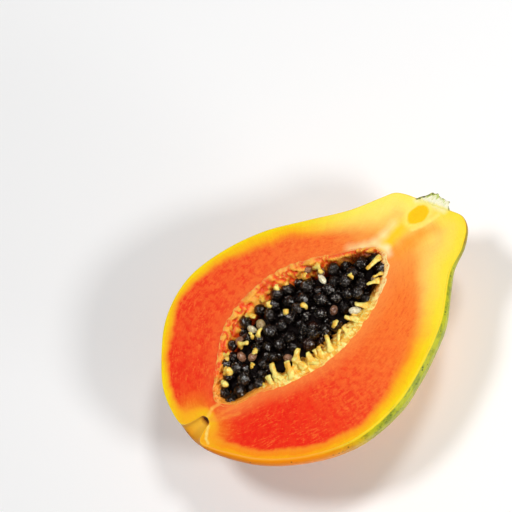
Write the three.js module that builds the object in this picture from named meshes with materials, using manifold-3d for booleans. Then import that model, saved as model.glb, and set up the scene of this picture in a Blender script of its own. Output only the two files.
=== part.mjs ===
// A ripe pear-shaped papaya cut in half lengthways. It lies on its rounded back with the cut face up and level.
// Its pieces are the fruit itself (skin and flesh grown as one), the soft placenta that lines the seed cavity
// with its strands, the heap of seeds, and the cut stump of the stem.
// Units are millimetres. While the pieces are made, X runs along the fruit from the blossom end to the stem end,
// +Y is its left side seen from above, and Z is 0 on the cut face. At the end the whole fruit is moved so that
// the origin is the middle of its footprint, on the surface that it lies on.

import * as THREE from "three";
import { mergeVertices } from "three/addons/utils/BufferGeometryUtils.js";
import Module from "manifold-3d";

const wasm = await Module();
wasm.setup();

// Outline of the cut face. The angle goes round it from the middle of the stem end (0) to the middle of the
// blossom end (180). Each side has its own distance along the fruit and its own half width, because the fruit
// is fuller on its right and its stem end is slanted. The last five rows are the pit at the blossom end.
const OUTLINE = [
  // angle, left along, left half width, right along, right half width
  [0, 159.3, 0, 159.3, 0], // middle of the stem end
  [9, 155.7, 7.8, 162.9, 7.9], // foot of the stem
  [16, 153.2, 13.4, 165, 14.2], // top of the shoulder
  [22, 150.2, 17.6, 163, 19.4], // edge of the shoulder
  [30, 144, 20.6, 155.5, 25.2], // under the shoulder
  [41, 129, 27, 143.5, 30.2], // waist of the neck
  [54, 111, 38, 124.5, 45.6], // throat
  [68, 92, 49.2, 103.5, 55], // upper belly
  [84, 69, 56.8, 80, 61], // belly
  [99, 48.6, 58.3, 56, 59.8], // fullest part
  [115, 28, 50.6, 34, 50.2], // lower belly
  [130, 12, 35.4, 16, 35.5], // turn of the base
  [144, 3.4, 22.4, 5.4, 20.4], // base
  [155, 0.1, 9.2, 0.6, 9.2], // lip of the pit
  [161, 0.8, 6, 1, 6], // mouth of the pit
  [169, 6, 3.7, 6, 3.5], // wall of the pit
  [175, 10.2, 2.5, 10.2, 2.4], // edge of the blossom scar
  [180, 11.2, 0, 11.2, 0], // blossom scar
];

// Rim of the seed cavity in the cut face, by the same angles.
const RIM = [
  // angle, left along, left side, right along, right side
  [0, 125.7, 0.4, 125.7, 0.4], // tip towards the stem
  [20, 123.6, 5.2, 124.4, -3.6],
  [41, 115.5, 11.6, 119.5, -9.2],
  [54, 104, 18.8, 111.8, -13.4],
  [68, 91, 26.4, 101, -17.2],
  [84, 74.5, 30.9, 86, -19.9],
  [99, 60, 30.6, 69, -19.4],
  [115, 45.5, 26.3, 51, -14.4],
  [130, 34, 17.4, 39.5, -9],
  [150, 24.6, 9.6, 29, -5.6],
  [165, 20.9, 5, 24, -3.1],
  [180, 20.6, 0.9, 20.6, 0.9], // tip towards the blossom end
];

// The back of the fruit
const BACK_FULLNESS = 0.93; // its depth as a share of the half width of the cut face
const BACK_SHIFT = [11.5, -3.3]; // how far along and across the lowest part lies, to be under the fruit's weight
const LOBES = 5; // soft ridges of the five carpels, all round the whole fruit
const LOBE_HEIGHT = 0.012; // as a share of the radius at the belly
const LOBE_HEIGHT_AT_ENDS = 0.03;
const REST_FLAT = 0.8; // how much of the back the small flat spot that it lies on takes away

// The seed cavity and its lining
const CAVITY_MIDDLE = 72; // distance along the fruit
const CAVITY_DEPTH = 27;
const LINING_GAP = 0.4; // between the flesh and the lining
const LINING_FLOOR = 19; // how far below the cut face its floor lies, under the seeds
const BED_LENGTH = 0.94; // size of the seed bed as a share of the rim
const BED_WIDTH = 0.68;
const BED_DEPTH = 7; // how far below the cut face the slope of the lining ends
const FOLDS = 22; // folds of the lining round the cavity
const FOLD_HEIGHT = 0.8;

// Strands that carried seeds, standing in from the lining
const STRAND_FOOT = 1.7; // radius
const STRAND_TIP = 1.05;
const STRAND_SIDES = 5;
const RIGHT_STRANDS = 18;
const LEFT_STRANDS = 9;

// Seeds, each in its own thin sac
const SEED_RADIUS = 2.9;
const SEED_STRETCH = 1.16; // length over width
const SEED_CONTACT = 1; // distance between neighbours as a share of two radii
const HEAP_CREST = -0.5; // top of the heap in the middle of the bed
const HEAP_FALL = 5.5; // how much lower it is at the edge
const HEAP_LAYER = 6.5; // depth of the loose seeds that lie on the packed core
const HEAP_WIDTH = 0.8; // width of the heap as a share of the cavity's
const HEAP_ENDS = [26, 120]; // places along the fruit between which seeds lie
const DROPS = 40; // places tried for each seed, of which the lowest is taken
const SEED_CLEARANCE = 0.35; // between the seeds and the lining
const CORE_CLEARANCE = 0.8; // between the packed core and the floor of the lining

// Small pale seeds that never ripened: place along and across the fruit
const PALE_SEEDS = [
  [55.5, 18.4],
  [46.4, 18.4],
  [42.5, 11.1],
  [46.6, 6.4],
  [60.3, 17.4],
  [58.9, -5.4],
  [96.8, 11.4],
  [98.2, -9.7],
];
const PALE_RADIUS = 2.2;

// Stump of the stem
const STEM_GAP = 0.35; // between the stump and the fruit
const STEM_FOOT = 7.6; // radius
const STEM_NECK = 5.2;
const STEM_END_LEFT = [162.4, 5.2]; // corners of its broken end on the cut face
const STEM_END_RIGHT = [165.4, -4.4];
const STEM_RIDGES = 5;
const STEM_RIDGE = 0.06; // as a share of its radius

// How finely the solids are faceted
const COLUMNS = 76; // round the fruit and its cavity
const COLUMN_CROWDING = 11; // degrees by which they are drawn towards the ends
const SKIN_RINGS = 22;
const CAVITY_RINGS = 5;
const STEM_COLUMNS = 30;
const SHORTEST_EDGE = 0.02;

const degrees = THREE.MathUtils.degToRad;
const mix = THREE.MathUtils.lerp;

// A repeatable draw between 0 and 1.
function makeDraw(seed) {
  let state = seed;
  return () => {
    state = (Math.imul(state, 1664525) + 1013904223) >>> 0;
    return state / 4294967296;
  };
}

// Reads one column of a table of stations at an angle, along a smooth curve through the rows.
function readStations(table, angle, column) {
  const rise = (k) => (table[k + 1][column] - table[k][column]) / (table[k + 1][0] - table[k][0]);
  const slope = (k) => {
    if (k === 0) return rise(0);
    if (k === table.length - 1) return rise(k - 1);
    const before = table[k][0] - table[k - 1][0];
    const after = table[k + 1][0] - table[k][0];
    return (rise(k - 1) * after + rise(k) * before) / (before + after);
  };
  let k = 0;
  while (k < table.length - 2 && table[k + 1][0] <= angle) k += 1;
  const step = table[k + 1][0] - table[k][0];
  const t = (angle - table[k][0]) / step;
  const u = 1 - t;
  return (
    u * u * (1 + 2 * t) * table[k][column] +
    t * u * u * step * slope(k) +
    t * t * (3 - 2 * t) * table[k + 1][column] -
    t * t * u * step * slope(k + 1)
  );
}

// A point on the back of the fruit. The bearing goes round the fruit seen from above, from the stem end (0)
// through the left side (90). The dip is the angle below the cut face, 90 at the lowest point.
function backPoint(bearing, dip) {
  const forward = Math.cos(degrees(dip)) * Math.cos(degrees(bearing));
  const sideways = Math.cos(degrees(dip)) * Math.sin(degrees(bearing));
  const down = Math.sin(degrees(dip));
  const angle = THREE.MathUtils.radToDeg(Math.acos(THREE.MathUtils.clamp(forward, -1, 1)));
  const roll = Math.atan2(down, sideways);
  const left = (1 + Math.cos(roll)) / 2;
  const fullness = Math.sin(roll) ** 2;
  const belly = fullness * Math.sin(degrees(angle)) ** 2;
  const towardsEnds = Math.cos(degrees(angle)) ** 2;
  const lobe = mix(LOBE_HEIGHT, LOBE_HEIGHT_AT_ENDS, towardsEnds) * fullness;
  const ridge = 1 + lobe * Math.cos(LOBES * (roll - Math.PI / 2));
  const radius = mix(readStations(OUTLINE, angle, 4), readStations(OUTLINE, angle, 2), left) * ridge;
  const along = mix(readStations(OUTLINE, angle, 3), readStations(OUTLINE, angle, 1), left);
  return new THREE.Vector3(
    along + BACK_SHIFT[0] * belly,
    radius * Math.cos(roll) + BACK_SHIFT[1] * belly,
    -radius * Math.sin(roll) * BACK_FULLNESS,
  );
}

// A point on the rim of the seed cavity at a bearing seen from above.
function rimPoint(bearing) {
  const angle = bearing <= 180 ? bearing : 360 - bearing;
  const first = bearing <= 180 ? 1 : 3;
  return new THREE.Vector3(readStations(RIM, angle, first), readStations(RIM, angle, first + 1), 0);
}

// Where the rim is, across the fruit, at a distance along it. The first column says which side.
function rimAcross(along, first) {
  for (let k = 0; k < RIM.length - 1; k++) {
    const [ahead, behind] = [RIM[k], RIM[k + 1]];
    if (along <= ahead[first] && along >= behind[first]) {
      const t = (along - behind[first]) / (ahead[first] - behind[first]);
      return behind[first + 1] + t * (ahead[first + 1] - behind[first + 1]);
    }
  }
  return RIM[0][first + 1];
}

// Middle line and half width of the cavity at a distance along the fruit.
function cavityAt(along) {
  const left = rimAcross(along, 1);
  const right = rimAcross(along, 3);
  return { middle: (left + right) / 2, half: (left - right) / 2 };
}

// A closed skin over rings of points that go round once, between a first and a last single point.
function skinOverRings(first, rings, last) {
  const columns = rings[0].length;
  const points = [first, ...rings.flat(), last];
  const at = (ring, column) => 1 + ring * columns + (column % columns);
  const faces = [];
  for (let j = 0; j < columns; j++) {
    faces.push(0, at(0, j), at(0, j + 1));
    for (let i = 0; i < rings.length - 1; i++) {
      faces.push(at(i, j), at(i + 1, j), at(i + 1, j + 1));
      faces.push(at(i, j), at(i + 1, j + 1), at(i, j + 1));
    }
    faces.push(at(rings.length - 1, j), points.length - 1, at(rings.length - 1, j + 1));
  }
  const geometry = new THREE.BufferGeometry().setFromPoints(points);
  geometry.setIndex(faces);
  return geometry;
}

// Bearings of the columns of facets, closer together at the two ends of the fruit.
const bearings = Array.from({ length: COLUMNS }, (_, j) => {
  const even = (360 * j) / COLUMNS;
  return even - COLUMN_CROWDING * Math.sin(degrees(2 * even));
});

function solidFrom(geometry) {
  const bare = new THREE.BufferGeometry();
  bare.setAttribute("position", geometry.getAttribute("position"));
  bare.setIndex(geometry.getIndex());
  const merged = mergeVertices(bare, 1e-4);
  return new wasm.Manifold(
    new wasm.Mesh({
      numProp: 3,
      vertProperties: new Float32Array(merged.attributes.position.array),
      triVerts: new Uint32Array(merged.index.array),
    }),
  );
}

function geometryFrom(solid) {
  const mesh = solid.simplify(SHORTEST_EDGE).getMesh();
  const geometry = new THREE.BufferGeometry();
  geometry.setAttribute("position", new THREE.BufferAttribute(new Float32Array(mesh.vertProperties), 3));
  geometry.setIndex(new THREE.BufferAttribute(new Uint32Array(mesh.triVerts), 1));
  return geometry;
}

// The largest body of a solid, without loose scraps.
function largestBody(solid) {
  return solid.decompose().reduce((best, body) => (body.volume() > best.volume() ? body : best));
}

// The cavity wall: a bowl under the rim, narrowed by a share and a little shallower.
function bowlPoint(bearing, share, shrink, lift) {
  const rim = rimPoint(bearing);
  const centre = new THREE.Vector3(CAVITY_MIDDLE, cavityAt(CAVITY_MIDDLE).middle, 0);
  const point = centre.lerp(rim, share * shrink);
  point.z = -(CAVITY_DEPTH - lift) * Math.sqrt(1 - share * share);
  return point;
}

// Rings of the bowl from its lowest point up to the rim.
function bowlRings(shrink, lift) {
  const shares = Array.from({ length: CAVITY_RINGS }, (_, i) => Math.sin((Math.PI / 2) * ((i + 1) / CAVITY_RINGS)));
  return shares.map((share) => bearings.map((bearing) => bowlPoint(bearing, Math.min(share, 1), shrink, lift)));
}

// Fruit: cavity wall, cut face and back as one skin, flattened a little where it lies.
function makeFruit() {
  const rings = bowlRings(1, 0);
  rings.push(bearings.map((bearing) => rimPoint(bearing).lerp(backPoint(bearing, 0), 0.5)));
  for (let i = 0; i < SKIN_RINGS; i++) {
    rings.push(bearings.map((bearing) => backPoint(bearing, (90 * i) / SKIN_RINGS)));
  }
  const lowest = backPoint(0, 90);
  const back = [lowest, ...rings.flat()];
  const floor = Math.min(...back.map((point) => point.z)) + REST_FLAT;
  back.forEach((point) => {
    point.z = Math.max(point.z, floor);
  });
  return skinOverRings(bowlPoint(0, 0, 1, 0), rings, lowest);
}

// A point on the slope of the lining, from the rim (0) to the edge of the seed bed (1). Swell moves it inwards.
function slopePoint(bearing, share, swell) {
  const rim = rimPoint(bearing);
  const along = CAVITY_MIDDLE + (rim.x - CAVITY_MIDDLE) * mix(1, BED_LENGTH, share);
  const here = cavityAt(along).middle;
  const out = (rim.y - cavityAt(rim.x).middle) * mix(1, BED_WIDTH, share);
  const fold = FOLD_HEIGHT * Math.sin(degrees(FOLDS * bearing)) * Math.sin(Math.PI * share);
  const height = -BED_DEPTH * share ** 1.3 + fold;
  return new THREE.Vector3(along, here + out - Math.sign(out) * swell, height + swell);
}

// One strand: a tapered rod with a blunt end, from its foot to its tip.
function makeStrand(foot, tip, swell, thickness) {
  const run = new THREE.Vector3().subVectors(tip, foot);
  const rod = new THREE.CylinderGeometry(
    (STRAND_TIP * thickness) + swell,
    (STRAND_FOOT * thickness) + swell,
    run.length() + swell,
    STRAND_SIDES,
  );
  rod.translate(0, (run.length() + swell) / 2, 0);
  const turn = new THREE.Quaternion().setFromUnitVectors(new THREE.Vector3(0, 1, 0), run.normalize());
  rod.applyQuaternion(turn);
  rod.translate(foot.x, foot.y, foot.z);
  return solidFrom(rod);
}

// Feet and tips of the strands: a fringe down the right side, fewer on the left, and one long one at the tip.
function strandPlaces() {
  const draw = makeDraw(11);
  const places = [];
  const addRow = (count, from, to, reach) => {
    for (let i = 0; i < count; i++) {
      const bearing = mix(from, to, (i + 0.7 * draw()) / count);
      const foot = slopePoint(bearing, 0.35 + 0.3 * draw(), 0);
      const inner = slopePoint(bearing + 6 * (draw() - 0.5), 1, 0);
      const thickness = 0.75 + 0.4 * draw();
      const tip = foot.clone().lerp(inner, reach * (0.8 + 0.6 * draw()));
      tip.z = foot.z + 1.5 * (draw() - 0.3);
      foot.z -= 1.2;
      places.push({ foot, tip, thickness });
    }
  };
  addRow(RIGHT_STRANDS, 225, 325, 1);
  addRow(LEFT_STRANDS, 55, 150, 0.7);
  places.push({
    foot: new THREE.Vector3(124.2, -0.6, -2.2),
    tip: new THREE.Vector3(114.9, -1.8, 0.4),
    thickness: 0.8,
  });
  return places;
}

// Height of the floor of the lining, from its middle (0) to the edge of the seed bed (1).
const floorHeight = (share) => -BED_DEPTH - (LINING_FLOOR - BED_DEPTH) * Math.sqrt(1 - share * share);

// A point on the floor of the lining, under the seeds.
function floorPoint(bearing, share, swell) {
  const edge = slopePoint(bearing, 1, swell);
  const centre = new THREE.Vector3(CAVITY_MIDDLE, cavityAt(CAVITY_MIDDLE).middle, edge.z);
  const point = centre.lerp(edge, share);
  point.z += BED_DEPTH + floorHeight(share);
  return point;
}

// Placenta: a bowl of soft tissue with a folded slope round its edge, and the strands fused into it.
function makePlacenta(swell) {
  const inside = [
    ...[0.45, 0.8, 0.96].map((share) => bearings.map((bearing) => floorPoint(bearing, share, swell))),
    ...[1, 0.7, 0.4, 0.06].map((share) => bearings.map((bearing) => slopePoint(bearing, share, swell))),
  ];
  const outside = bowlRings(1 - LINING_GAP / 20, LINING_GAP).reverse();
  outside[0].forEach((point) => {
    point.z = -LINING_GAP;
  });
  const centre = floorPoint(0, 0, swell);
  const bowl = solidFrom(skinOverRings(centre, [...inside, ...outside], bowlPoint(0, 0, 1, LINING_GAP)));
  const strands = strandPlaces().map(({ foot, tip, thickness }) => makeStrand(foot, tip, swell, thickness));
  return wasm.Manifold.union([bowl, ...strands]);
}

// How far a place is from the middle of the seed bed towards its edge, from 0 to 1.
function bedShare(x, y) {
  const { middle, half } = cavityAt(x);
  const across = Math.abs(y - middle) / Math.max(half * BED_WIDTH, 0.5);
  const tip = x > CAVITY_MIDDLE ? RIM[0][1] : RIM[RIM.length - 1][1];
  const lengthways = Math.abs((x - CAVITY_MIDDLE) / ((tip - CAVITY_MIDDLE) * BED_LENGTH));
  return Math.min(Math.max(across, lengthways), 1);
}

const heapTop = (x, y) => HEAP_CREST - HEAP_FALL * bedShare(x, y) ** 2;

// Height at which a seed dropped at a place comes to rest on the packed core and on the seeds before it.
function restHeight(x, y, radius, seeds) {
  let height = Math.max(heapTop(x, y) - HEAP_LAYER, floorHeight(bedShare(x, y)) + 0.7 * radius);
  for (const seed of seeds) {
    const reach = (radius + seed.radius) * SEED_CONTACT;
    const apart = (x - seed.x) ** 2 + (y - seed.y) ** 2;
    if (apart < reach * reach) {
      height = Math.max(height, seed.z + Math.sqrt(reach * reach - apart));
    }
  }
  return height;
}

// Seeds fall one by one. Each takes the lowest of several places, until the heap is full.
function seedPlaces() {
  const draw = makeDraw(29);
  const seeds = [];
  const [low, high] = HEAP_ENDS;
  for (;;) {
    let best = null;
    for (let i = 0; i < DROPS; i++) {
      const x = mix(low, high, draw());
      const { middle, half } = cavityAt(x);
      const y = middle + (2 * draw() - 1) * (half * HEAP_WIDTH - SEED_RADIUS);
      const z = restHeight(x, y, SEED_RADIUS, seeds);
      const level = z - heapTop(x, y);
      if (!best || level < best.level) best = { x, y, z, level, radius: SEED_RADIUS };
    }
    if (best.level > -0.4 * SEED_RADIUS) break;
    seeds.push(best);
  }
  for (const [x, y] of PALE_SEEDS) {
    seeds.push({ x, y, z: restHeight(x, y, PALE_RADIUS, seeds) - 0.8, radius: PALE_RADIUS });
  }
  return seeds;
}

// Seeds: a packed core in the bowl of the placenta, with the loose seeds of the heap standing out of it.
function makeSeeds() {
  const draw = makeDraw(47);
  const corePoint = (bearing, share, top) => {
    const edge = slopePoint(bearing, 1, 0);
    const centre = new THREE.Vector3(CAVITY_MIDDLE, cavityAt(CAVITY_MIDDLE).middle, 0);
    const point = centre.lerp(edge, share);
    point.z = top ? heapTop(point.x, point.y) - HEAP_LAYER : floorHeight(share) + CORE_CLEARANCE;
    return point;
  };
  const ring = (share, top) => bearings.filter((_, j) => j % 2 === 0).map((bearing) => corePoint(bearing, share, top));
  const rings = [ring(0.4, true), ring(0.8, true), ring(0.8, false), ring(0.4, false)];
  const core = solidFrom(skinOverRings(corePoint(0, 0, true), rings, corePoint(0, 0, false)));
  const seeds = seedPlaces().map(({ x, y, z, radius }) => {
    const seed = new THREE.IcosahedronGeometry(radius, 1);
    seed.deleteAttribute("normal");
    seed.deleteAttribute("uv");
    seed.scale(SEED_STRETCH, 1, 1);
    seed.rotateY(Math.PI * (draw() - 0.5) * 0.8);
    seed.rotateZ(2 * Math.PI * draw());
    seed.translate(x, y, z);
    return solidFrom(mergeVertices(seed, 1e-4));
  });
  return largestBody(wasm.Manifold.union([core, ...seeds]).subtract(makePlacenta(SEED_CLEARANCE)));
}

// Stump of the stem: a ridged, tapering stub with a broken end, cut through like the fruit.
function makeStem() {
  const slant = (OUTLINE[1][1] - OUTLINE[1][3]) / (OUTLINE[1][2] + OUTLINE[1][4]);
  const shift = (STEM_END_LEFT[1] + STEM_END_RIGHT[1]) / 2;
  const ring = (radius, middle, along) =>
    Array.from({ length: STEM_COLUMNS }, (_, j) => {
      const turn = (2 * Math.PI * j) / STEM_COLUMNS;
      const ridged = radius * (1 + STEM_RIDGE * Math.cos(STEM_RIDGES * turn));
      const foot = OUTLINE[0][1] + STEM_GAP + slant * ridged * Math.cos(turn);
      const end = mix(STEM_END_RIGHT[0], STEM_END_LEFT[0], (1 + Math.cos(turn)) / 2);
      return new THREE.Vector3(mix(foot, end, along), middle + ridged * Math.cos(turn), ridged * Math.sin(turn));
    });
  const first = new THREE.Vector3((STEM_END_LEFT[0] + STEM_END_RIGHT[0]) / 2 - 0.6, shift, 0);
  const last = new THREE.Vector3(OUTLINE[0][1] + STEM_GAP, 0, 0);
  const rings = [ring(STEM_NECK * 0.92, shift, 1), ring(STEM_NECK, shift, 0.6), ring(STEM_FOOT, 0, 0)];
  const above = new THREE.BoxGeometry(60, 60, 30);
  above.translate(OUTLINE[0][1], 0, 15);
  return solidFrom(skinOverRings(first, rings, last)).subtract(solidFrom(above));
}

function addPiece(group, name, geometry, colour, roughness) {
  const material = new THREE.MeshStandardMaterial({ color: colour, roughness, metalness: 0 });
  const piece = new THREE.Mesh(geometry, material);
  geometry.computeVertexNormals();
  piece.name = name;
  group.add(piece);
}

const fruit = new THREE.Group();
addPiece(fruit, "fruit_half", makeFruit(), 0xf2641e, 0.55);
addPiece(fruit, "placenta", geometryFrom(makePlacenta(0)), 0xf9b233, 0.6);
addPiece(fruit, "seeds", geometryFrom(makeSeeds()), 0x14100f, 0.25);
addPiece(fruit, "stem_stump", geometryFrom(makeStem()), 0xa9b545, 0.8);

const extent = new THREE.Box3().setFromObject(fruit);
const middle = extent.getCenter(new THREE.Vector3());
fruit.position.set(-middle.x, -middle.y, -extent.min.z);

const papaya = new THREE.Group();
papaya.add(fruit);

export default papaya;
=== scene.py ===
import math
import random

import bpy
from mathutils import Matrix, Vector, kdtree, noise


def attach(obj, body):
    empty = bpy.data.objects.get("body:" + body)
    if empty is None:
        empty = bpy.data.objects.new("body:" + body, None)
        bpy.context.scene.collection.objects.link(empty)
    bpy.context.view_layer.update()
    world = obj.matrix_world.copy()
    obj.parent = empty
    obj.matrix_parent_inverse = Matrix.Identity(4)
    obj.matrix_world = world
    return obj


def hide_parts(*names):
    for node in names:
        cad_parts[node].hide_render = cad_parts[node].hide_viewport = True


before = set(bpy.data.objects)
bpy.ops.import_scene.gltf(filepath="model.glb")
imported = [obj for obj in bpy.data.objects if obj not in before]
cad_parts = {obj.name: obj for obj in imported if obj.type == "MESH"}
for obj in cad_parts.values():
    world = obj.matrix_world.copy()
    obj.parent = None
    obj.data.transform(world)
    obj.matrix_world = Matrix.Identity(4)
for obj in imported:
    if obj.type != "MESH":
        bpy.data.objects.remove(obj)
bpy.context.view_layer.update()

bpy.ops.object.select_all(action="DESELECT")

# Camera, looking down on the cut face.
# The fruit lies on its back, so the camera stands 20 degrees off the upright on the fruit's right side,
# and is rolled so that the stem end points to the upper right. A long lens keeps the outline true.
FRAME_ORIGIN = Vector((82.749, -1.380, -55.515))  # the frame's origin in the fruit's own millimetres
LOOK_AT = Vector((81.0, 42.7, 0.0))  # what the middle of the picture shows
VIEW_TILT, VIEW_ROLL = math.radians(20), math.radians(43.3)
PICTURE_PIXELS, MM_PER_PIXEL = 512, 0.48
LENS_MM, SENSOR_MM = 180, 36


def in_frame(point):
    return (Vector(point) - FRAME_ORIGIN) / 1000


towards_camera = Vector((0, -math.sin(VIEW_TILT), math.cos(VIEW_TILT)))
across_fruit = Vector((0, math.cos(VIEW_TILT), math.sin(VIEW_TILT)))
along_fruit = Vector((1, 0, 0))
picture_right = math.cos(VIEW_ROLL) * along_fruit - math.sin(VIEW_ROLL) * across_fruit
picture_up = math.sin(VIEW_ROLL) * along_fruit + math.cos(VIEW_ROLL) * across_fruit
distance = PICTURE_PIXELS * MM_PER_PIXEL / 1000 * LENS_MM / SENSOR_MM
bpy.ops.object.camera_add(location=in_frame(LOOK_AT) + distance * towards_camera)
camera = bpy.context.object
camera.rotation_euler = Matrix((picture_right, picture_up, towards_camera)).transposed().to_euler()
camera.data.lens, camera.data.sensor_width = LENS_MM, SENSOR_MM
camera.data.clip_start, camera.data.clip_end = 0.05, 20
bpy.context.scene.camera = camera

# Studio light and floor.
# Three round windows about the camera light the fruit and give the glints on the seeds, a fill lamp lightens its
# right side, and a faint white sky lights the rest. The floor is a wide pale board.
target = in_frame((80, 0, 0))
for name, where, size, power in (
    ("window_left", 1.0 * towards_camera - 0.60 * picture_right + 0.45 * picture_up, 0.25, 6.1),
    ("window_top", 1.1 * towards_camera + 0.10 * picture_right + 0.80 * picture_up, 0.25, 5.6),
    ("window_right", 1.0 * towards_camera + 0.60 * picture_right - 0.10 * picture_up, 0.25, 5.3),
    ("fill", 0.6 * towards_camera + 1.1 * picture_right - 0.5 * picture_up, 0.4, 6.0),
):
    bpy.ops.object.light_add(type="AREA", location=target + where)
    lamp = bpy.context.object
    lamp.name = name
    lamp.data.shape, lamp.data.size, lamp.data.energy = "DISK", size, power
    lamp.rotation_euler = where.to_track_quat("Z", "Y").to_euler()
sky = bpy.data.worlds.new("pale_sky")
sky.use_nodes = True
light = sky.node_tree.nodes["Background"].inputs
light["Color"].default_value, light["Strength"].default_value = (1.0, 1.0, 1.0, 1), 0.10
bpy.context.scene.world = sky
bpy.context.scene.view_settings.view_transform = "Standard"

bpy.ops.mesh.primitive_plane_add(size=6, location=(0, 0, 0))
floor = bpy.context.object
floor.name = "floor"
pale_board = bpy.data.materials.new("pale_board")
pale_board.use_nodes = True
board = pale_board.node_tree.nodes["Principled BSDF"].inputs
board["Base Color"].default_value, board["Roughness"].default_value = (0.97, 0.97, 0.97, 1), 0.7
floor.data.materials.append(pale_board)

# Fruit: skin and flesh, cut through lengthways.
# One living tissue, firm and moist. Its cut face is level, its cavity a bowl, its back pear-shaped with five
# soft lobes, with the pit of the blossom scar at one end and the slanted shoulder at the other.
OUTLINE = (  # angle round the cut face, left along, left half width, right along, right half width
    (0, 159.3, 0, 159.3, 0),
    (9, 155.7, 7.8, 162.9, 7.9),
    (16, 153.2, 13.4, 165, 14.2),
    (22, 150.2, 17.6, 163, 19.4),
    (30, 144, 20.6, 155.5, 25.2),
    (41, 129, 27, 143.5, 30.2),
    (54, 111, 38, 124.5, 45.6),
    (68, 92, 49.2, 103.5, 55),
    (84, 69, 56.8, 80, 61),
    (99, 48.6, 58.3, 56, 59.8),
    (115, 28, 50.6, 34, 50.2),
    (130, 12, 35.4, 16, 35.5),
    (144, 3.4, 22.4, 5.4, 20.4),
    (155, 0.1, 9.2, 0.6, 9.2),
    (161, 0.8, 6, 1, 6),
    (169, 6, 3.7, 6, 3.5),
    (175, 10.2, 2.5, 10.2, 2.4),
    (180, 11.2, 0, 11.2, 0),
)
RIM = (  # angle round the cavity, left along, left side, right along, right side
    (0, 125.7, 0.4, 125.7, 0.4),
    (20, 123.6, 5.2, 124.4, -3.6),
    (41, 115.5, 11.6, 119.5, -9.2),
    (54, 104, 18.8, 111.8, -13.4),
    (68, 91, 26.4, 101, -17.2),
    (84, 74.5, 30.9, 86, -19.9),
    (99, 60, 30.6, 69, -19.4),
    (115, 45.5, 26.3, 51, -14.4),
    (130, 34, 17.4, 39.5, -9),
    (150, 24.6, 9.6, 29, -5.6),
    (165, 20.9, 5, 24, -3.1),
    (180, 20.6, 0.9, 20.6, 0.9),
)
COLUMNS, CROWDING = 400, 11  # columns round it, and how many degrees they crowd towards its ends
CAVITY_RINGS, FACE_RINGS, SKIN_RINGS = 14, 66, 104
SKIN_CROWDING = 1.4  # how much the rings of the skin crowd towards the cut
BACK_FULLNESS, BACK_SHIFT = 0.93, (11.5, -3.3)
LOBES, LOBE_SHARE = 5, (0.012, 0.03)  # how many round the whole fruit, and their height at its middle and ends
PIT_LIP = 1.3  # how far the flesh bulges round the pit, below the cut
CAVITY_MIDDLE, CAVITY_DEPTH = 72, 27
STRIP, STRIP_RIGHT, STRIP_BELLY = 0.45, 1.2, 1.3  # curled strip of skin all round, and what its right side adds
CURL_DEPTH = 1.25  # how deep the curl reaches, over its width
FACE_WAVE, FACE_PITCH = 0.14, 0.16  # height of the waves in the cut face, and waves to a millimetre
SKIN_WAVES = ((0.35, 0.07), (0.1, 0.3))  # the same for the skin, coarse and fine
LINE_STEPS = 720  # points along the lines of the skin and the rim


def station(table, angle, column):
    """Reads a column of a table at an angle, along a smooth curve through its rows."""
    def rise(k):
        return (table[k + 1][column] - table[k][column]) / (table[k + 1][0] - table[k][0])

    def slope(k):
        if k == 0 or k == len(table) - 1:
            return rise(min(k, len(table) - 2))
        before, after = table[k][0] - table[k - 1][0], table[k + 1][0] - table[k][0]
        return (rise(k - 1) * after + rise(k) * before) / (before + after)

    k = 0
    while k < len(table) - 2 and table[k + 1][0] <= angle:
        k += 1
    step = table[k + 1][0] - table[k][0]
    t = (angle - table[k][0]) / step
    u = 1 - t
    return (u * u * (1 + 2 * t) * table[k][column] + t * u * u * step * slope(k)
            + t * t * (3 - 2 * t) * table[k + 1][column] - t * t * u * step * slope(k + 1))


def lerp(a, b, t):
    return a + (b - a) * t


def ease(value, low, high):
    t = min(max((value - low) / (high - low), 0), 1)
    return t * t * (3 - 2 * t)


def back_point(bearing, dip):
    """A point on the back: bearing from the stem end through the left side, dip below the cut face."""
    b, d = math.radians(bearing), math.radians(dip)
    forward, sideways, down = math.cos(d) * math.cos(b), math.cos(d) * math.sin(b), math.sin(d)
    angle = math.degrees(math.acos(max(-1, min(1, forward))))
    roll = math.atan2(down, sideways)
    left, fullness = (1 + math.cos(roll)) / 2, math.sin(roll) ** 2
    belly = fullness * math.sin(math.radians(angle)) ** 2 * (1 - ease(angle, 136, 155))
    lobe = lerp(*LOBE_SHARE, math.cos(math.radians(angle)) ** 2) * fullness
    radius = lerp(station(OUTLINE, angle, 4), station(OUTLINE, angle, 2), left)
    radius *= 1 + lobe * math.cos(LOBES * (roll - math.pi / 2))
    along = lerp(station(OUTLINE, angle, 3), station(OUTLINE, angle, 1), left)
    along -= PIT_LIP * fullness * ease(angle, 146, 157) * (1 - ease(angle, 161, 169))
    return Vector((along + BACK_SHIFT[0] * belly, radius * math.cos(roll) + BACK_SHIFT[1] * belly,
                   -radius * math.sin(roll) * BACK_FULLNESS))


def rim_point(bearing):
    """A point on the rim of the cavity."""
    angle, first = (bearing, 1) if bearing <= 180 else (360 - bearing, 3)
    return Vector((station(RIM, angle, first), station(RIM, angle, first + 1), 0))


def rim_across(along, first):
    """How far across the rim lies at a place along it. Its side's columns start at first."""
    for ahead, behind in zip(RIM, RIM[1:]):
        if behind[first] <= along <= ahead[first]:
            t = (along - behind[first]) / (ahead[first] - behind[first])
            return lerp(behind[first + 1], ahead[first + 1], t)
    return RIM[0][first + 1]


def cavity_at(along):
    """The middle of the cavity and its half width at a place along it."""
    left, right = rim_across(along, 1), rim_across(along, 3)
    return (left + right) / 2, (left - right) / 2


CAVITY_CENTRE = Vector((CAVITY_MIDDLE, cavity_at(CAVITY_MIDDLE)[0], 0))


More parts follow.
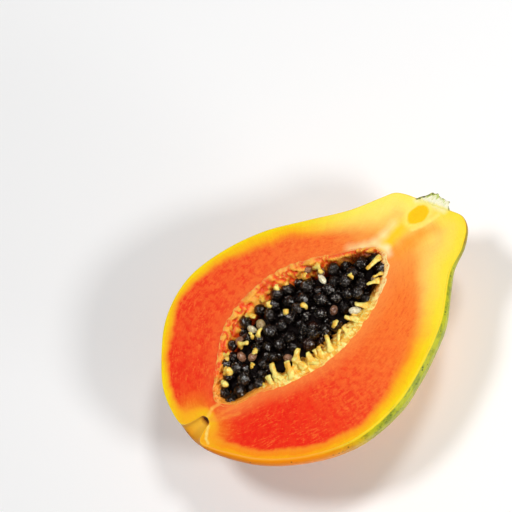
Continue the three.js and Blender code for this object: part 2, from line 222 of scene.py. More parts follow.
def strip_width(bearing):
    """How far in from the outline the skin curls over to meet the cut face."""
    return (STRIP + STRIP_RIGHT * ease(bearing, 196, 210) * (1 - ease(bearing, 332, 350))
            + STRIP_BELLY * ease(bearing, 200, 222) * (1 - ease(bearing, 300, 326)))


def crowded(column, columns):
    """The bearing of a column. More of them stand near the ends of the fruit."""
    even = 360 * column / columns
    return (even - CROWDING * math.sin(math.radians(2 * even))) % 360


def new_ball(name, columns, rings):
    bpy.ops.mesh.primitive_uv_sphere_add(segments=columns, ring_count=rings, radius=1, location=(0, 0, 0))
    bpy.context.object.name = name
    return bpy.context.object


def ball_spots(ball, columns, rings):
    """The column of each vertex of a new ball and its ring, counted from the top."""
    return [(round(math.atan2(v.co.y, v.co.x) / math.tau * columns) % columns,
             round(math.acos(max(-1, min(1, v.co.z))) / math.pi * rings)) for v in ball.data.vertices]


def shape_ball(ball, spots, place):
    """Moves each vertex of a ball to where its column and ring belong."""
    for vertex, spot in zip(ball.data.vertices, spots):
        vertex.co = place(*spot)


def bowl_point(bearing, share, shrink, lift):
    """A point on the wall of the cavity, from its floor (0) to the rim (1)."""
    point = CAVITY_CENTRE.lerp(rim_point(bearing), share * shrink)
    point.z = -(CAVITY_DEPTH - lift) * math.sqrt(max(0, 1 - share * share))
    return point


columns_at = [crowded(column, COLUMNS) for column in range(COLUMNS)]
rims = [rim_point(bearing) for bearing in columns_at]
edges = [back_point(bearing, 0) for bearing in columns_at]
strips = [strip_width(bearing) for bearing in columns_at]
all_rings = CAVITY_RINGS + FACE_RINGS + SKIN_RINGS


def fruit_place(column, ring):
    bearing, rim, edge, strip = columns_at[column], rims[column], edges[column], strips[column]
    across = edge - rim
    if ring <= CAVITY_RINGS:
        return bowl_point(bearing, math.sin(math.pi / 2 * ring / CAVITY_RINGS), 1, 0)
    if ring <= CAVITY_RINGS + FACE_RINGS:
        share = (ring - CAVITY_RINGS) / FACE_RINGS
        point = rim + across * share * (1 - strip / across.length)
        point.z = FACE_WAVE * noise.noise(point * FACE_PITCH) - FACE_WAVE
        return point
    dip = 90 * ((ring - CAVITY_RINGS - FACE_RINGS) / SKIN_RINGS) ** SKIN_CROWDING
    point = back_point(bearing, dip)
    curl = 1 - min(1, -point.z / (CURL_DEPTH * strip))
    point -= across.normalized() * strip * (1 - math.sqrt(1 - curl * curl))
    outward = Vector((0, point.y, point.z)).normalized()
    wave = sum(height * noise.noise(point * pitch) for height, pitch in SKIN_WAVES)
    point += outward * wave * ease(dip, 0, 8)
    point.z = max(point.z, FRAME_ORIGIN.z)
    return point


fruit = new_ball("fruit_flesh_and_skin", COLUMNS, all_rings)
fruit_spots = ball_spots(fruit, COLUMNS, all_rings)
shape_ball(fruit, fruit_spots, fruit_place)

# How deep in the flesh each point lies, and how wide the yellow band under the skin is there.
skin_line, rim_line = kdtree.KDTree(LINE_STEPS), kdtree.KDTree(LINE_STEPS)
for k in range(LINE_STEPS):
    at = 360 * k / LINE_STEPS
    rim, edge = rim_point(at), back_point(min(max(at, 9), 351), 0)
    skin_line.insert(edge.lerp(rim, strip_width(at) / (edge - rim).length), k)
    rim_line.insert(rim_point(at), k)
skin_line.balance()
rim_line.balance()
skin_depths, rim_depths, bands, fibres = [], [], [], []
for vertex in fruit.data.vertices:
    level = Vector((vertex.co.x, vertex.co.y, 0))
    x, y = level.x, level.y
    skin_depths.append(skin_line.find(level)[2])
    rim_depths.append(rim_line.find(level)[2])
    right_width = 5.0 + 6.6 * ease(x, 52, 116) + 4.5 * ease(x, 108, 140)
    left_width = 4.4 + 3.8 * ease(x, 46, 92) + 6.5 * ease(x, 98, 140)
    width = lerp(right_width, left_width, ease(y, -6, 6))
    width += 5.5 * (1 - ease(x, 2, 17)) * (1 - ease(abs(y), 4, 17))
    bands.append(width)
    turn = math.atan2(y - 3, x - CAVITY_MIDDLE)
    fibres += [52 * math.cos(turn), 52 * math.sin(turn), rim_depths[-1]]


def mark(piece, name, values):
    """Keeps a number for each vertex of a piece, or three, for its material to read."""
    vector = len(values) > len(piece.data.vertices)
    attribute = piece.data.attributes.new(name, "FLOAT_VECTOR" if vector else "FLOAT", "POINT")
    attribute.data.foreach_set("vector" if vector else "value", values)


mark(fruit, "skin_depth", skin_depths)
mark(fruit, "rim_depth", rim_depths)
mark(fruit, "band", bands)
mark(fruit, "fibre", fibres)
for vertex in fruit.data.vertices:
    vertex.co = in_frame(vertex.co)
bpy.ops.object.shade_smooth()


def tint(code):
    """A colour written as six hex digits, as the shader takes it."""
    parts = [int(code[i:i + 2], 16) / 255 for i in (0, 2, 4)]
    return (*(p / 12.92 if p <= 0.04045 else ((p + 0.055) / 1.055) ** 2.4 for p in parts), 1.0)


class Signal:
    """An output of a material's node, on which sums can be written."""

    def __init__(self, paint, socket):
        self.paint, self.socket = paint, socket

    def sum(self, operation, *values):
        return self.paint.node("ShaderNodeMath", {"operation": operation}, dict(enumerate(values)))

    def __add__(self, other): return self.sum("ADD", self, other)
    def __radd__(self, other): return self.sum("ADD", other, self)
    def __sub__(self, other): return self.sum("SUBTRACT", self, other)
    def __rsub__(self, other): return self.sum("SUBTRACT", other, self)
    def __mul__(self, other): return self.sum("MULTIPLY", self, other)
    def __rmul__(self, other): return self.sum("MULTIPLY", other, self)
    def __truediv__(self, other): return self.sum("DIVIDE", self, other)


class Paint:
    """A material made of nodes."""

    def __init__(self, name):
        self.material = bpy.data.materials.new(name)
        self.material.use_nodes = True
        self.tree = self.material.node_tree
        self.shader = self.tree.nodes["Principled BSDF"]

    def node(self, kind, settings=None, sockets=None, output=0):
        made = self.tree.nodes.new(kind)
        for name, value in (settings or {}).items():
            if name == "stops":
                ramp = made.color_ramp.elements
                while len(ramp) < len(value):
                    ramp.new(0.5)
                for element, (position, colour) in zip(ramp, value):
                    element.position, element.color = position, colour
            else:
                setattr(made, name, value)
        for name, value in (sockets or {}).items():
            self.feed(made.inputs[name], value)
        return Signal(self, made.outputs[output])

    def feed(self, socket, value):
        """Gives a socket a link, a value or a colour by its code."""
        if isinstance(value, Signal):
            self.tree.links.new(value.socket, socket)
        else:
            socket.default_value = tint(value) if isinstance(value, str) else value

    def attribute(self, name, output="Fac"):
        return self.node("ShaderNodeAttribute", {"attribute_name": name}, output=output)

    def vector(self, operation, *values, output="Vector"):
        second = "Scale" if operation == "SCALE" else 1
        return self.node("ShaderNodeVectorMath", {"operation": operation}, dict(zip((0, second), values)), output)

    def place(self):
        """Object coordinates turned into the fruit's own millimetres."""
        here = self.node("ShaderNodeTexCoord", output="Object")
        return self.vector("ADD", self.vector("SCALE", here, 1000.0), FRAME_ORIGIN)

    def stretch(self, vector, by):
        return self.vector("MULTIPLY", vector, by)

    def part(self, vector, axis):
        return self.node("ShaderNodeSeparateXYZ", sockets={0: vector}, output=axis)

    def grain(self, vector, scale, detail=2.0, roughness=0.5):
        return self.node("ShaderNodeTexNoise", sockets={
            "Vector": vector, "Scale": scale, "Detail": detail, "Roughness": roughness})

    def fade(self, value, low, high):
        """Rises softly from 0 to 1 as the value goes from low to high."""
        return self.node("ShaderNodeMapRange", {"interpolation_type": "SMOOTHSTEP"},
                         {"Value": value, "From Min": low, "From Max": high})

    def blend(self, share, first, second, way="MIX"):
        return self.node("ShaderNodeMix", {"data_type": "RGBA", "blend_type": way},
                         {0: share, 6: first, 7: second}, output=2)

    def stroke(self, place, start, end, inner, outer):
        """Strength of a soft line drawn from start to end: 1 within inner of it, 0 beyond outer."""
        start, run = Vector(start), Vector(end) - Vector(start)
        away = self.vector("SUBTRACT", place, start)
        along = self.vector("DOT_PRODUCT", away, run, output="Value")
        held = self.node("ShaderNodeMath", {"operation": "MULTIPLY", "use_clamp": True},
                         {0: along, 1: 1 / run.length_squared})
        off = self.vector("DISTANCE", away, self.vector("SCALE", run, held), output="Value")
        return 1 - self.fade(off, inner, outer)

    def set(self, **sockets):
        for name, value in sockets.items():
            self.feed(self.shader.inputs[name.replace("_", " ")], value)

    def soak(self, weight, radius):
        """Light that enters the tissue: how much, and how far each colour goes, in metres."""
        self.set(Subsurface_Weight=weight, Subsurface_Radius=radius, Subsurface_Scale=0.5)

    def relief(self, height, distance, strength=1.0):
        self.set(Normal=self.node("ShaderNodeBump", sockets={
            "Height": height, "Distance": distance, "Strength": strength}))


# Cut flesh: orange-red, moist and finely fibrous, with yellow under the skin, in the neck and along the strands.
p = Paint("cut_flesh")
place = p.place()
x, y = p.part(place, "X"), p.part(place, "Y")
flat = p.stretch(place, (1.0, 1.0, 0.0))
cloudy = p.grain(flat, 0.085, 3.0)
blotchy = p.grain(flat, 0.34, 4.0, 0.62)
speckle = p.grain(flat, 0.9, 4.0, 0.65)
fibre = p.attribute("fibre", "Vector")
threads = p.grain(p.stretch(fibre, (1.5, 1.5, 0.16)), 1.0, 3.0, 0.6)
wavy = p.grain(p.stretch(fibre, (0.55, 0.55, 0.09)), 1.0, 2.0, 0.5)
layers = p.grain(p.stretch(fibre, (0.30, 0.30, 1.3)), 1.0, 4.0, 0.65)
depth = p.attribute("skin_depth") + (cloudy - 0.5) * 5.0 + (wavy - 0.5) * 1.0
ripe = depth / p.attribute("band")
inner = p.attribute("rim_depth")
right = p.fade(y, 4.0, -6.0)
reddest = p.fade(x + (cloudy - 0.5) * 30.0, 84.0, 34.0) * (0.40 + p.fade(y, 10.0, -22.0) * 0.6)
reddest = reddest + p.fade(x, 44.0, 16.0) * (1 - right) * 0.3
milder = p.fade(x + (cloudy - 0.5) * 36.0, 66.0, 118.0)
flesh = p.blend(p.fade(blotchy + (cloudy - 0.5) * 0.5, 0.36, 0.66), "F76A2A", "EF401C")
flesh = p.blend(milder * (0.6 + right * 0.25), flesh, "F97F2C")
flesh = p.blend(reddest * (0.64 + blotchy * 0.5), flesh, "EE1C0A")
specks = p.fade(speckle * 0.7 + (layers - 0.5) * 1.3 + (threads - 0.5) * 0.3 + (cloudy - 0.5) * 0.5, 0.39, 0.60)
flesh = p.blend(specks * 0.38, flesh, "FB8436")
flesh = p.blend(p.fade(layers + (speckle - 0.5) * 0.6, 0.48, 0.34) * 0.35, flesh, "E62E10")
towards_neck = x + (cloudy - 0.5) * 14.0 + right * -6.0
flesh = p.blend(p.fade(towards_neck, 110.0, 136.0) * 0.85, flesh, "FCB04C")
flesh = p.blend(p.fade(towards_neck, 126.0, 148.0), flesh, "FCE268")
flesh = p.blend((1 - p.fade(inner, 0.5, 9.5)) * (0.14 + right * 0.42), flesh, "FA9646")
pale_neck = p.fade(x, 100.0, 140.0)
low = p.fade(x, 84.0, 34.0) * p.fade(y, 0.0, -16.0)
lemon = p.blend(pale_neck, "F7D40C", p.blend(right, "FBEA62", "F8E03C"))
sunny = p.blend(pale_neck, "FABC14", p.blend(right, "FCE66C", "FADC54"))
lemon, sunny = p.blend(low * 0.8, lemon, "FA9A08"), p.blend(low * 0.8, sunny, "FA840C")
amber = p.blend(pale_neck, "F99020", "FCCC62")
cut = p.blend(p.fade(ripe, 0.06, 0.40), lemon, sunny)
cut = p.blend(p.fade(ripe, 0.36, 0.80), cut, amber)
cut = p.blend(p.fade(ripe, 0.64, 1.12), cut, flesh)
base_glow = p.fade(x, 22.0, 6.0) * (1 - p.fade(y.sum("ABSOLUTE", y), 5.0, 20.0))
cut = p.blend(base_glow * 0.75, cut, "FAA81C")
RAGGED = 1.6  # how far the drawn lines stray; half of it shifts them back to their places
stray = p.node("ShaderNodeTexNoise", sockets={"Vector": flat, "Scale": 0.25, "Detail": 2.0}, output="Color")
ragged = p.vector("ADD", flat, p.stretch(stray, (RAGGED, RAGGED, 0.0)))
LINES = (  # colour, strength, half width, soft edge, points along and across (all in millimetres)
    ("FFD01C", 0.90, -1.5, 5.8, ((127, 1.8), (131, 2.6), (138, 2.8), (144, 2.4))),
    ("F99A26", 0.60, -2.0, 6.4, ((131, -4.8), (138, -5.2), (145, -5.8), (151, -8.4))),
    ("FDECA8", 0.68, -2.0, 4.2, ((116, 13.2), (121, 9.0), (126, 6.4), (132, 6.2), (139, 6.8))),
    ("FFF2BC", 0.74, -1.5, 3.4, ((127.2, 3.6), (128.8, 0.6), (127.6, -2.2))),
    ("FAF0B0", 0.75, 0.4, 3.4, ((155.2, 7.4), (158.6, 1.6), (160.8, -4.8))),
    ("FFE878", 0.70, 0.1, 1.6, ((143.2, -1.4), (147.4, -3.4), (152.4, -4.4), (157.0, -5.2))),
    ("FFC455", 0.55, 0.1, 1.4, ((12.0, 0.6), (16.0, 1.8), (20.2, 1.1))),
    ("FFE078", 0.65, 0.1, 1.1, ((9.5, -3.4), (6.4, -5.2), (4.4, -7.0), (3.8, -9.4))),
    ("FA9A3A", 0.45, 0.0, 1.5, ((12.4, -2.2), (17.0, -5.5), (24.0, -9.0))),
    ("FA9A3A", 0.35, 0.0, 1.5, ((13.0, -1.2), (18.5, -3.6), (26.0, -5.2))),
)
for colour, strength, half, soft, points in LINES:
    points = [(along + RAGGED / 2, across + RAGGED / 2, 0) for along, across in points]
    for start, end in zip(points, points[1:]):
        cut = p.blend(p.stroke(ragged, start, end, half, soft) * strength, cut, colour)
CORE_MIDDLE, CORE_TURN, CORE_HALVES = (151.2, 2.6, 0.0), 0.12, (6.4, 4.3)  # yellow spot in the neck
core = p.vector("SUBTRACT", ragged, CORE_MIDDLE)
core = p.node("ShaderNodeVectorRotate", {"rotation_type": "Z_AXIS"}, {"Vector": core, "Angle": CORE_TURN})
core = p.vector("LENGTH", p.stretch(core, (1 / CORE_HALVES[0], 1 / CORE_HALVES[1], 0.0)), output="Value")
cut = p.blend((1 - p.fade(core, 0.95, 1.5)) * 0.85, cut, "FBE86A")
cut = p.blend(1 - p.fade(core, 0.78, 1.02), cut, "FCC814")
GREYS = ((0.30, (0.32, 0.32, 0.32, 1)), (0.68, (0.66, 0.66, 0.66, 1)))
streaks = p.node("ShaderNodeValToRGB", {"stops": GREYS}, {"Fac": threads * 0.5 + layers * 0.5})
cut = p.blend(0.22, cut, streaks, "OVERLAY")
p.set(Base_Color=cut, Roughness=0.34 + speckle * 0.3, Specular_IOR_Level=0.06)
p.soak(0.15, (0.0030, 0.0010, 0.0003))
p.relief(threads * 0.3 + layers * 0.5 + speckle * 0.5 + wavy * 0.5, 0.00032)
fruit.data.materials.append(p.material)

# Skin: smooth and waxy, golden where it is ripe, still green on the side away from the sun, with dark specks.
p = Paint("ripe_skin")
place = p.place()
x, y, z = (p.part(place, axis) for axis in "XYZ")
cloudy = p.grain(place, 0.05, 3.0)
blotchy = p.grain(place, 0.18, 4.0, 0.6)
fine = p.grain(place, 1.1, 3.0, 0.6)
golden = p.blend(p.fade(cloudy + (blotchy - 0.5) * 0.4, 0.38, 0.66), "F4B80A", "EC8A06")
golden = p.blend(p.fade(x, 36.0, 6.0) * 0.6, golden, "F08C06")
greenness = p.fade(y + (blotchy - 0.5) * 22.0, -12.0, -34.0) * p.fade(x + (cloudy - 0.5) * 40.0, 30.0, 66.0)
greenness = greenness * p.fade(z, -42.0, -6.0)
shoulder = p.fade(x + (blotchy - 0.5) * 16.0, 138.0, 158.0)
green = p.blend(p.fade(blotchy + (fine - 0.5) * 0.5, 0.40, 0.62), "A4AE0C", "708A14")
skin = p.blend(greenness * 0.92, golden, green)
skin = p.blend(shoulder * 0.55 * p.fade(y, 6.0, -10.0), skin, "54651A")
low_right = p.fade(x, 70.0, 30.0) * p.fade(y, 6.0, -14.0)
skin = p.blend(low_right * 0.9, skin, "F68A04")
pricks = p.node("ShaderNodeTexVoronoi", {"feature": "F1"}, {"Vector": place, "Scale": 0.42}, output="Distance")
some = p.grain(place, 0.09, 2.0)
pricks = (1 - p.fade(pricks, 0.10, 0.24)) * p.fade(some + greenness * 0.16, 0.53, 0.60)
skin = p.blend(pricks * 0.8, skin, p.blend(greenness, "6B4A0C", "2E3B10"))
SCAR_MIDDLE = (11.0, 0.0, -1.0)
pit = p.vector("DISTANCE", place, SCAR_MIDDLE, output="Value")
near_cut = p.fade(z + (fine - 0.5) * 0.2 + p.fade(y, 0.0, 12.0) * 0.8, -0.4, -0.1) * (1 - low_right * 0.8)
skin = p.blend(near_cut, skin, "F6D410")
for inside, outside, colour in ((6.0, 15.0, "F8BC36"), (1.8, 4.0, "B0621C"), (1.2, 2.4, "3C1408")):
    skin = p.blend(1 - p.fade(pit + (fine - 0.5) * 1.8, inside, outside), skin, colour)
p.set(Base_Color=skin, Roughness=0.36 + fine * 0.14, Specular_IOR_Level=0.25)
p.soak(0.08, (0.003, 0.0015, 0.0005))
p.relief(fine * 0.4 + blotchy + pricks * -0.5, 0.00025, 0.7)
fruit.data.materials.append(p.material)

# Wall of the cavity under the lining: the same flesh, deep orange.
p = Paint("cavity_wall")
p.set(Base_Color=p.blend(p.grain(p.place(), 0.5, 3.0), "F0641C", "F4A03C"), Roughness=0.45)
fruit.data.materials.append(p.material)
for face in fruit.data.polygons:
    ring = max(fruit_spots[v][1] for v in face.vertices)
    face.material_index = 2 if ring <= CAVITY_RINGS else 0 if ring <= CAVITY_RINGS + FACE_RINGS else 1
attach(fruit, "root")
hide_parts("fruit_half")

# Placenta: the lining of the cavity.
# Soft tissue that grew as one with the flesh. Its slope from the rim down to the seeds is folded into cells
# on the left, each the place of a seed that came away, and is fibrous and paler on the right.
BED_LENGTH, BED_WIDTH = 0.94, 0.68  # size of the seeds' bed as a share of the rim
BED_DEPTH, FLOOR_DEPTH = 7, 19
SLOPE_CURVE = 1.3  # how much steeper the slope is at the bed than at the rim
LINING_COLUMNS, FLOOR_RINGS, SLOPE_RINGS, BACK_RINGS = 520, 10, 44, 10
FOLDS_ROUND, FOLDS_DOWN = 0.34, 1.9  # folds to a millimetre round the rim, and down the whole slope
FOLD_WARP = 1.2
RIM_TUCK = 0.9  # how far the edge of the lining dips under the cut face
lining_rings = FLOOR_RINGS + SLOPE_RINGS + BACK_RINGS


def slope_point(bearing, share):
    """A point on the slope of the lining, from the rim (0) to the edge of the bed (1)."""
    rim = rim_point(bearing)
    along = CAVITY_MIDDLE + (rim.x - CAVITY_MIDDLE) * lerp(1, BED_LENGTH, share)
    out = (rim.y - cavity_at(rim.x)[0]) * lerp(1, BED_WIDTH, share)
    return Vector((along, cavity_at(along)[0] + out, -BED_DEPTH * share ** SLOPE_CURVE))


def floor_height(share):
    """Height of the lining's floor, from its middle (0) to the edge of the bed (1)."""
    return -BED_DEPTH - (FLOOR_DEPTH - BED_DEPTH) * math.sqrt(max(0, 1 - share * share))


hollow_at = {}


def folded(bearing, share):
    """The slope of the lining with its folds, and how deep in a hollow each point is."""
    point = slope_point(bearing, share)
    inward = CAVITY_CENTRE - point
    inward.z = 0
    inward.normalize()
    turn = math.radians(bearing)
    on_left = ease(math.sin(turn), -0.25, 0.2)
    rim = rim_point(bearing)
    across_rim = Vector((rim.x * FOLDS_ROUND, rim.y * FOLDS_ROUND, share * FOLDS_DOWN + 3))
    for axis in range(3):
        across_rim[axis] += FOLD_WARP * noise.noise(point * 0.13 + Vector((9.3 * axis, 2.1, 5.7)))
    crinkle = min(1.2, 2.6 * abs(noise.noise(across_rim)))
    crinkle += 0.8 * abs(noise.noise(across_rim * 2.1 + Vector((7, 1, 4))))
    crumple = noise.noise(point * 0.85 + Vector((5, 9, share * 3)))
    threads = noise.noise(Vector((point.x * 1.3, point.y * 1.3, share * 1.2)))
    left_up = 1.3 * crinkle + 0.6 * crumple - 0.5
    right_up = 0.5 * threads + 0.45 * crumple + 0.2 + 6.0 * (share ** 1.3 - share ** 2.2)
    right_up *= lerp(0.35, 1.0, ease(point.x, 36, 50))
    up = lerp(right_up, 0.8 * left_up, on_left) * (0.1 + ease(share, 0, 0.2))
    tuck = 1 - ease(share, 0, 0.05)
    point -= inward * (1.2 + 1.0 * noise.noise(point * 0.4)) * (1 - ease(share, 0, 0.2))
    point += inward * (0.7 * up) + Vector((0, 0, 0.75 * up + 0.1 - RIM_TUCK * tuck))
    return point, lerp(0.45 - 0.6 * crumple - 0.4 * threads, 0.62 - 0.5 * left_up, on_left)


def lining_place(column, ring):
    bearing = lining_bearings[column]
    if ring < FLOOR_RINGS:
        share = math.sin(math.pi / 2 * ring / FLOOR_RINGS)
        point = CAVITY_CENTRE.lerp(slope_point(bearing, 1), share)
        point.z = floor_height(share)
        return point
    if ring <= FLOOR_RINGS + SLOPE_RINGS:
        share = 1 - (ring - FLOOR_RINGS) / SLOPE_RINGS
        point, hollow_at[column, ring] = folded(bearing, share)
        return point
    share = math.cos(math.pi / 2 * (ring - FLOOR_RINGS - SLOPE_RINGS) / BACK_RINGS)
    return bowl_point(bearing, share, 0.985, 0.3) - Vector((0, 0, 0.15))


lining_bearings = [crowded(column, LINING_COLUMNS) for column in range(LINING_COLUMNS)]
lining = new_ball("placenta_lining", LINING_COLUMNS, lining_rings)
lining_spots = ball_spots(lining, LINING_COLUMNS, lining_rings)
shape_ball(lining, lining_spots, lambda column, ring: in_frame(lining_place(column, ring)))
mark(lining, "hollow", [hollow_at.get(spot, 0.9) for spot in lining_spots])
mark(lining, "slope_share", [min(max(1 - (ring - FLOOR_RINGS) / SLOPE_RINGS, 0), 1) for _, ring in lining_spots])
bpy.ops.object.shade_smooth()

p = Paint("soft_lining")
place = p.place()
x, y = p.part(place, "X"), p.part(place, "Y")
axis = 7.0 - (x - CAVITY_MIDDLE) * 0.115
left = p.fade(y - axis, -4.0, 3.0)
fine = p.grain(place, 1.3, 3.0, 0.6)
stringy = p.grain(p.stretch(place, (1.0, 0.35, 0.6)), 1.6, 3.0, 0.6)
# Painted light and shade of the folds: red-orange deepening into their hollows, lighter orange on their crests, and
# more orange in the hollows on the right.
deep = p.fade(p.attribute("hollow") + (fine - 0.5) * 0.7, 0.02, 0.72)
far = p.attribute("slope_share")
left_tone = p.blend(deep, "FFAE3A", "F04A08")
left_tone = p.blend((1 - p.fade(far + (fine - 0.5) * 0.2, 0.0, 0.12)) * 0.6, left_tone, "FFC060")
right_tone = p.blend(p.fade(stringy + (deep - 0.5) * 0.5, 0.36, 0.64), "FFEC88", "FDBC3C")
right_tone = p.blend(p.fade(far, 0.45, 1.0) * 0.7, right_tone, "F08A1C")
right_tone = p.blend(p.fade(x, 49.0, 42.0) * 0.9, right_tone, "FC9A34")
near_neck = p.fade(x, 103.0, 113.0)
cream_rim = p.blend(p.fade(far, 0.06, 0.3), "FFE49C", "E48A2C")
right_tone = p.blend(near_neck * 0.85, right_tone, cream_rim)
tone = p.blend(left, right_tone, left_tone)
# Painted shade: dark brown deep down the slope near the neck, where the cavity narrows.
tone = p.blend(near_neck * p.fade(far + (fine - 0.5) * 0.2, 0.2, 0.55) * 0.85, tone, "6E2C08")
p.set(Base_Color=tone, Roughness=0.18 + fine * 0.2, Specular_IOR_Level=0.4)
p.soak(0.15, (0.004, 0.002, 0.0006))
p.relief(fine * 0.8 + stringy, 0.00045)
lining.data.materials.append(p.material)
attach(lining, "root")
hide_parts("placenta")

# Strands that carried the seeds, and scraps of them left among the seeds.
# Soft translucent tissue. The stalks grow out of the lining, thick at the foot and blunt at the tip, and fine
# fibres lie over its right side. Each is one turned rod, bent to its own run, with its foot sunk in the lining.
STALKS = (  # foot, tip (both along, across, up), thickness
    ((124.0, -0.4, -1.6), (114.8, -0.7, 1.5), 0.75),
    ((115.6, -8.8, -1.4), (109.9, -6.2, 1.0), 0.70),
    ((119.4, -7.4, -1.4), (114.4, -6.0, 0.9), 0.60),
    ((49.0, -10.4, -2.4), (51.8, -2.2, 0.6), 1.30),
    ((54.0, -14.2, -2.0), (57.2, -6.4, 0.7), 1.35),
    ((61.0, -15.2, -1.8), (60.4, -7.6, 0.9), 1.25),
    ((60.6, -9.4, -1.0), (65.8, -6.0, 0.2), 0.95),
    ((65.6, -16.4, -1.8), (67.4, -10.4, 0.7), 1.10),
    ((71.0, -17.6, -1.6), (73.4, -12.0, 0.8), 1.00),
    ((76.0, -18.4, -1.4), (79.6, -10.6, 0.9), 1.05),
    ((80.4, -18.4, -1.4), (86.2, -13.2, 0.8), 0.70),
    ((44.6, -9.6, -2.2), (46.2, -5.2, 0.4), 1.00),
    ((95.0, -16.4, -1.2), (91.6, -10.4, 0.9), 0.80),
    ((103.4, -13.8, -1.4), (99.2, -9.4, 1.2), 0.80),
    ((88.4, -17.2, -1.4), (87.6, -13.0, 0.4), 1.00),
    ((98.6, 19.0, -2.4), (97.9, 13.6, 1.4), 1.05),
    ((46.0, 16.2, -2.6), (50.0, 13.4, 0.4), 1.00),
    ((58.0, 24.4, -2.6), (61.0, 20.6, 0.4), 0.90),
)
SCRAPS = (  # along, across, direction, length, thickness
    (72.8, 11.8, 40, 3.0, 1.00),
    (81.1, 7.8, 100, 3.4, 0.80),
    (57.0, 13.6, 20, 5.0, 1.05),
    (53.4, 15.2, 60, 3.2, 0.90),
    (86.0, -9.1, 10, 4.4, 0.95),
    (107.1, 2.5, 75, 2.6, 0.70),
    (49.4, 8.4, 200, 3.4, 0.85),
    (77.4, 24.2, 30, 3.4, 0.90),
    (33.6, 10.2, 300, 4.2, 1.50),
    (28.0, 6.6, 290, 4.0, 1.20),
    (91.4, 18.6, 20, 3.0, 0.85),
    (43.8, 4.0, 10, 2.6, 0.70),
    (69.6, 20.4, 60, 3.0, 0.90),
)
SHORT_STALKS = ((236, 262, 5), (262, 296, 3), (64, 150, 4))  # from one bearing to another, how many
FINE_FIBRES = ((228, 268, 64), (268, 300, 34), (300, 332, 10))
SCRAP_FOOT, SCRAP_TIP = -2.2, 0.1  # heights
STRAND_TOP = 0.8  # no tip stands higher than this above the cut face
scraps, short_stalks, fibre_runs = [], [], []
draw = random.Random(17)
for x, y, way, length, thickness in SCRAPS:
    half_run = Vector((math.cos(math.radians(way)), math.sin(math.radians(way)), 0)) * length / 2
    scraps.append((Vector((x, y, SCRAP_FOOT)) - half_run, Vector((x, y, SCRAP_TIP)) + half_run, thickness))
for low, high, count in SHORT_STALKS:
    for k in range(count):
        bearing = lerp(low, high, (k + draw.random()) / count)
        foot = slope_point(bearing, 0.25 + 0.4 * draw.random())
        tip = foot.lerp(slope_point(bearing + 14 * (draw.random() - 0.5), 1.1), 0.5 + 0.4 * draw.random())
        tip.z = foot.z + 1.2 + 1.6 * draw.random()
        foot.z -= 1.2
        short_stalks.append((foot, tip, 0.7 + 0.6 * draw.random()))
for low, high, count in FINE_FIBRES:
    for k in range(count):
        bearing = lerp(low, high, (k + draw.random()) / count)
        start = 0.08 + 0.6 * draw.random() ** 0.7
        foot = slope_point(bearing, start)
        tip = slope_point(bearing + 8 * (draw.random() - 0.5), start + 0.3 + 0.45 * draw.random())
        tip.z += 1.0 + 2.2 * draw.random()
        foot.z -= 0.3
        fibre_runs.append((foot, tip, 0.34 + 0.34 * draw.random()))


def copied(piece):
    twin = piece.copy()
    twin.data = piece.data.copy()
    bpy.context.collection.objects.link(twin)
    return twin


def joined(pieces, name):
    bpy.ops.object.select_all(action="DESELECT")
    for piece in pieces:
        piece.select_set(True)
    bpy.context.view_layer.objects.active = pieces[0]
    bpy.ops.object.join()
    bpy.context.object.name = name
    return bpy.context.object


def bent_rods(sides, joints, runs, bow_share, flare):
    """One rod of that many sides and joints, copied for each run and bent to it."""
    bpy.ops.mesh.primitive_cylinder_add(vertices=sides, radius=1, depth=1, location=(0, 0, 0.5))
    rod = bpy.context.object
    bpy.ops.object.transform_apply(location=True, rotation=True, scale=True)
    bpy.ops.object.mode_set(mode="EDIT")
    for k in range(1, joints):
        bpy.ops.mesh.select_all(action="SELECT")
        bpy.ops.mesh.bisect(plane_co=(0, 0, math.sin(math.pi / 2 * k / joints)), plane_no=(0, 0, 1))
    bpy.ops.object.mode_set(mode="OBJECT")
    made = []
    for k, (foot, tip, thickness) in enumerate(runs):
        foot, tip = Vector(foot), Vector(tip)
        tip.z = min(tip.z, STRAND_TOP)
        strand = copied(rod)
        run = tip - foot
        side = run.cross(Vector((0, 0, 1))).normalized()
        top = side.cross(run).normalized()
        bow = 1.4 * bow_share * run.length * noise.noise(Vector((k * 3.1, 0.5, sides)))
        for vertex in strand.data.vertices:
            t = vertex.co.z
            girth = thickness * lerp(flare, 1.0, min(1, t * 1.8))
            girth *= 1 + (0.45 if flare > 1 else 0.9) * noise.noise(Vector((t * 5, k * 7.7, sides)))
            girth *= math.sqrt(max(0.1, 1 - ease(t, 0.88, 1.06) ** 2))
            if flare < 1:
                girth *= math.sqrt(max(0.06, 1 - ease(t, 0.25, -0.04) ** 2))
            turn = math.atan2(vertex.co.y, vertex.co.x)
            girth *= 1 + 0.22 * math.sin(2 * turn + k + 3 * t) + 0.12 * math.sin(5 * turn - k + 4 * t)
            arch = math.sin(math.pi * t) * run.length
            sway = bow * math.sin(math.pi * t) + 0.9 * t * noise.noise(Vector((t * 2.2, k * 5.1, 3)))
            middle = foot + run * t + side * sway + top * (bow_share * arch)
            vertex.co = in_frame(middle + (side * vertex.co.x * 1.1 + top * vertex.co.y * 0.8) * girth)
        made.append(strand)
    bpy.data.objects.remove(rod)
    return made


strands = bent_rods(14, 9, [*STALKS, *short_stalks], 0.12, 2.0)
strands += bent_rods(12, 8, scraps, 0.22, 0.9)
strands += bent_rods(6, 5, fibre_runs, 0.10, 1.5)
strand_tuft = joined(strands, "seed_strands")
bpy.ops.object.shade_smooth()

